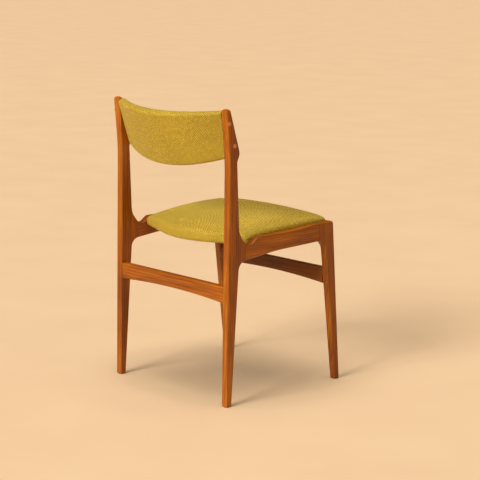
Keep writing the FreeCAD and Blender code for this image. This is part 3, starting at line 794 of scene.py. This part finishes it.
def dust_cover(seat):
    """Thin lining under the seat, flat along its edges and sagging in between with slight wrinkles."""
    across_x, across_y, level = DUST_LONG_WAVES
    cloth = Cloth()
    cells = DUST_CELLS
    numbers = {}
    for line in range(cells + 1):
        for column in range(cells + 1):
            s = -1 + 2 * column / cells
            t = -1 + 2 * line / cells
            free = (1 - s ** 4) * (1 - t ** 4)
            place = seat.place(s, t, DUST_INSET, 0.0)
            long_wave = noise.noise(Vector((place.x * across_x, place.y * across_y, level)))
            short_wave = noise.noise(place * DUST_SHORT_WAVES)
            place.z = -DUST_GAP - free * (DUST_SAG + DUST_WRINKLE * (long_wave + short_wave))
            numbers[column, line] = (cloth.point(place), (place.x, place.y))
    for line in range(cells):
        row = [numbers[column, line] for column in range(cells + 1)]
        following = [numbers[column, line + 1] for column in range(cells + 1)]
        cloth.strip(following, row)
    seat.settle(cloth.points)
    piece = cloth.build("seat_lining")
    thickness = piece.modifiers.new("thickness", "SOLIDIFY")
    thickness.thickness = DUST_THICK
    thickness.offset = 0.0
    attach(piece, "root")
    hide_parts("seat_dust_cover")
    return piece


# ---- Back pad ----

def arc_points(centre, radius, start, finish, count):
    """Points along an arc between two angles in degrees, without the last one."""
    points = []
    for index in range(count):
        angle = math.radians(start + (finish - start) * index / count)
        points.append((centre[0] + radius * math.cos(angle), centre[1] + radius * math.sin(angle)))
    return points


def straight_points(first, second, count):
    """Points along a straight line, without the last one."""
    points = []
    for index in range(count):
        share = index / count
        points.append(tuple(start + (end - start) * share for start, end in zip(first, second)))
    return points


def back_section(x, half, inset):
    """Closed row of (out, up) points, from the lower rear corner up the rear face and down the front."""
    share = 1 - (x / half) ** 2
    rear = BACK_BULGE * share - inset
    front = rear + 2 * inset - (BACK_THICK_END + (BACK_THICK_MIDDLE - BACK_THICK_END) * share)
    bottom = BACK_BOTTOM_END + (BACK_BOTTOM_MIDDLE - BACK_BOTTOM_END) * share + inset
    top = BACK_TOP_END + (BACK_TOP_MIDDLE - BACK_TOP_END) * share - inset
    upper = BACK_ROUND - inset * BACK_ROUND_LOSS
    ridge = BACK_RIDGE_ROUND - inset * BACK_ROUND_LOSS
    lower = BACK_LOWER_ROUND - inset * BACK_ROUND_LOSS
    cells, arc, edge = BACK_FACE_CELLS, BACK_ARC_CELLS, BACK_EDGE_CELLS
    points = straight_points((rear, bottom + lower), (rear, top - ridge), cells)
    points += arc_points((rear - ridge, top - ridge), ridge, 0, 90, arc)
    points += straight_points((rear - ridge, top), (front + upper, top), edge)
    points += arc_points((front + upper, top - upper), upper, 90, 180, arc)
    points += straight_points((front, top - upper), (front, bottom + upper), cells)
    points += arc_points((front + upper, bottom + upper), upper, 180, 270, arc)
    points += straight_points((front + upper, bottom), (rear - lower, bottom), edge)
    points += arc_points((rear - lower, bottom + lower), lower, 270, 360, arc)
    return points


def back_stations(half):
    """Places of the back's sections along X, from left to right, each with its inset."""
    rounded_end = []
    for angle in (90, 60, 30):
        turn = math.radians(angle)
        x = half - BACK_END_ROUND * (1 - math.sin(turn))
        rounded_end.append((x, BACK_END_ROUND * (1 - math.cos(turn))))
    inner_half = half - BACK_END_ROUND
    count = round(2 * inner_half / BACK_CELL)
    middle = [(inner_half - 2 * inner_half * index / count, 0.0) for index in range(count + 1)]
    return rounded_end + middle + [(-x, inset) for x, inset in reversed(rounded_end)]


def back_row(cloth, x, section, u):
    """Add a section's points, leaning back, and return its closed row."""
    row = []
    v = 0.0
    previous = section[0]
    for out, up in section:
        v += math.hypot(out - previous[0], up - previous[1])
        previous = (out, up)
        y = out * math.cos(BACK_LEAN) + up * math.sin(BACK_LEAN)
        z = up * math.cos(BACK_LEAN) - out * math.sin(BACK_LEAN)
        row.append((cloth.point((x, y, z)), (u, v)))
    v += math.hypot(section[0][0] - previous[0], section[0][1] - previous[1])
    row.append((row[0][0], (u, v)))
    return row


def cap_back_end(cloth, ring, turned):
    """Close an end of the back with rings that shrink towards its middle."""
    centre = sum((cloth.points[number] for number, _ in ring), Vector()) / len(ring)
    for share in BACK_CAP_SHARES:
        following = []
        for number, coordinates in ring:
            place = centre + (cloth.points[number] - centre) * share
            following.append((cloth.point(place), coordinates))
        first, second = (ring, following) if turned else (following, ring)
        cloth.strip(first + first[:1], second + second[:1])
        ring = following
    middle = (cloth.point(centre), ring[0][1])
    for index in range(len(ring)):
        corners = [ring[index], ring[(index + 1) % len(ring)], middle]
        cloth.face(corners if turned else list(reversed(corners)))


def back_pad():
    """Curved back upholstery and the stitches that close it along its lower rear edge."""
    low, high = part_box("back_cover")
    half = high.x
    cloth = Cloth()
    rows = []
    u = 0.0
    previous = None
    for x, inset in back_stations(half):
        section = back_section(x, half, inset)
        if previous is not None:
            u += math.hypot(x - previous[0], section[0][0] - previous[1])
        previous = (x, section[0][0])
        rows.append(back_row(cloth, x, section, u))
    for first, second in zip(rows, rows[1:]):
        cloth.strip(second, first)
    for row, turned in ((rows[0], False), (rows[-1], True)):
        cap_back_end(cloth, row[:-1], turned)
    shift_into_box(cloth.points, low, high)

    around = len(rows[0]) - 1
    seam_index = around - BACK_ARC_CELLS // 2 - 1
    front_first = BACK_FACE_CELLS + BACK_ARC_CELLS
    front_last = 2 * BACK_FACE_CELLS + 3 * BACK_ARC_CELLS + BACK_EDGE_CELLS
    pinned = list(range(len(rows) * around, len(cloth.points)))
    reach = []
    for number in range(len(rows)):
        at_end = number < BACK_PINNED_ROWS or number >= len(rows) - BACK_PINNED_ROWS
        for index in range(around):
            if at_end or index == seam_index:
                pinned.append(number * around + index)
            reach.append(BACK_FRONT_SWELL if front_first < index < front_last else BACK_REAR_SWELL)
    reach += [0.0] * (len(cloth.points) - len(reach))
    piece = cloth.build("back_upholstery")
    inflate(piece, pinned, reach)
    vertices = piece.data.vertices
    seam = []
    across = []
    for row in rows[2:-2]:
        seam.append(vertices[row[seam_index][0]].co.copy())
        across.append(vertices[row[seam_index + 1][0]].co - vertices[row[seam_index - 1][0]].co)
    apply_subdivision(piece)
    crease(piece, seam, SEAM_DEPTH, SEAM_WIDTH)
    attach(piece, "root")
    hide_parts("back_cover", "back_rear_padding", "back_front_foam")
    return piece, back_stitches(seam, across)


# ---- Scene ----

def make_camera():
    """Camera on the sitter's right, behind the chair and a little above it."""
    data = bpy.data.cameras.new("camera")
    data.lens = CAMERA_LENS
    data.sensor_width = CAMERA_SENSOR
    camera = bpy.data.objects.new("camera", data)
    flat = math.cos(CAMERA_DROP)
    forward = Vector((
        math.sin(CAMERA_HEADING) * flat,
        math.cos(CAMERA_HEADING) * flat,
        -math.sin(CAMERA_DROP),
    ))
    camera.location = CAMERA_PLACE
    camera.rotation_mode = "QUATERNION"
    camera.rotation_quaternion = forward.to_track_quat("-Z", "Y")
    bpy.context.scene.collection.objects.link(camera)
    bpy.context.scene.camera = camera


def soft_sun(name, source, power, spread, colour):
    """Broad soft light from a direction."""
    data = bpy.data.lights.new(name, "SUN")
    data.energy = power
    data.angle = math.radians(spread)
    data.color = colour
    light = bpy.data.objects.new(name, data)
    light.rotation_mode = "QUATERNION"
    light.rotation_quaternion = (-Vector(source)).to_track_quat("-Z", "Y")
    bpy.context.scene.collection.objects.link(light)


def make_stage():
    """Plain pale floor, even surroundings and the soft lights."""
    shader = Shader("pale_floor")
    place = shader.add("ShaderNodeTexCoord").outputs["Object"]
    mottle = shader.noise(place, 3.0, 3.0)
    shader.set(Base_Color=shader.ramp(mottle, FLOOR_STOPS), Roughness=0.6)
    mesh = bpy.data.meshes.new("floor")
    corners = [(x * FLOOR_HALF, y * FLOOR_HALF, 0.0) for x, y in ((-1, -1), (1, -1), (1, 1), (-1, 1))]
    mesh.from_pydata(corners, [], [(0, 1, 2, 3)])
    mesh.materials.append(shader.material)
    floor = bpy.data.objects.new("floor", mesh)
    bpy.context.scene.collection.objects.link(floor)
    world = bpy.data.worlds.new("studio")
    world.use_nodes = True
    background = world.node_tree.nodes["Background"]
    background.inputs["Color"].default_value = WORLD_COLOUR
    background.inputs["Strength"].default_value = WORLD_STRENGTH
    bpy.context.scene.world = world
    for light in LIGHTS:
        soft_sun(*light)


def paint(names, material):
    """Give CAD nodes one material."""
    for name in names:
        for slot in nodes[name].material_slots:
            slot.material = material


def nodes_named(*words):
    """Names of the CAD nodes with any of the words in them."""
    return [name for name in nodes if any(word in name for word in words)]


def with_painted_shade(stops, shade):
    """The same wood darkened by a share, as painted shade."""
    return [(position, tuple(value * shade for value in colour)) for position, colour in stops]


def finish_frame():
    """Teak on the boards and the plugs, each board with its own grain."""
    rail_low, rail_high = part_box("side_rail_left")
    number = 0
    # The front legs get a darker copy of the teak: painted shade for the shadow under the seat.
    for name, grain, joints, shade in (
        ("rear_post", "Z", (rail_high.y,), 1.0),
        ("side_rail", "Y", (rail_low.y, rail_high.y), 1.0),
        ("front_leg", "Z", (rail_low.y,), FRONT_LEG_PAINTED_SHADE),
    ):
        stops = with_painted_shade(TEAK_STOPS, shade)
        for side in ("left", "right"):
            number += 1
            pith = (0.05 + 0.012 * number, 0.09 - 0.02 * number)
            teak = wood(name + "_teak_" + side, grain, pith, stops, number * 1.7, joints)
            paint([name + "_" + side], teak)
    # The front stretcher gets a darker copy of the teak: painted shade for the shadow under the seat.
    for name, shade in (("rear_stretcher", 1.0), ("front_stretcher", FRONT_STRETCHER_PAINTED_SHADE)):
        number += 1
        stops = with_painted_shade(TEAK_STOPS, shade)
        paint([name], wood(name + "_teak", "X", (0.06, 0.03 * number), stops, number * 1.7))
    paint(nodes_named("screw_plugs"), wood("plug_teak", "X", (0.01, 0.02), PLUG_STOPS, 3.3))


def finish_hidden_parts():
    """Beech, plywood, steel and plastic on the remaining CAD nodes."""
    beech = wood("beech", "Y", (0.1, 0.04), BEECH_STOPS, seed=5.1, roughness=(0.5, 0.65), coat=0.0)
    paint(nodes_named("dowels", "seat_cleat", "back_block"), beech)
    paint(["back_core", "seat_pan"], plies("plywood", PLY_THICKNESS))
    steel = speckled("zinc_steel", STEEL_STOPS, scale=900.0, roughness=(0.28, 0.5), metal=1.0)
    paint(nodes_named("screws", "staples", "nails"), steel)
    plastic = speckled("glide_plastic", PLASTIC_STOPS, scale=700.0, roughness=(0.4, 0.6))
    paint(nodes_named("glide_rear", "glide_front"), plastic)


make_camera()
make_stage()
finish_frame()
finish_hidden_parts()
wool = woven("mustard_wool", FABRIC_WARP, FABRIC_WEFT, WEAVE_PITCH)
lining = speckled("lining", LINING_STOPS, scale=1400.0, roughness=(0.8, 0.95))
seat = SeatPlan()
for piece in (seat_pad(seat), *back_pad()):
    piece.data.materials.append(wool)
dust_cover(seat).data.materials.append(lining)
bpy.context.scene.view_settings.view_transform = "Standard"

bpy.context.view_layer.update()
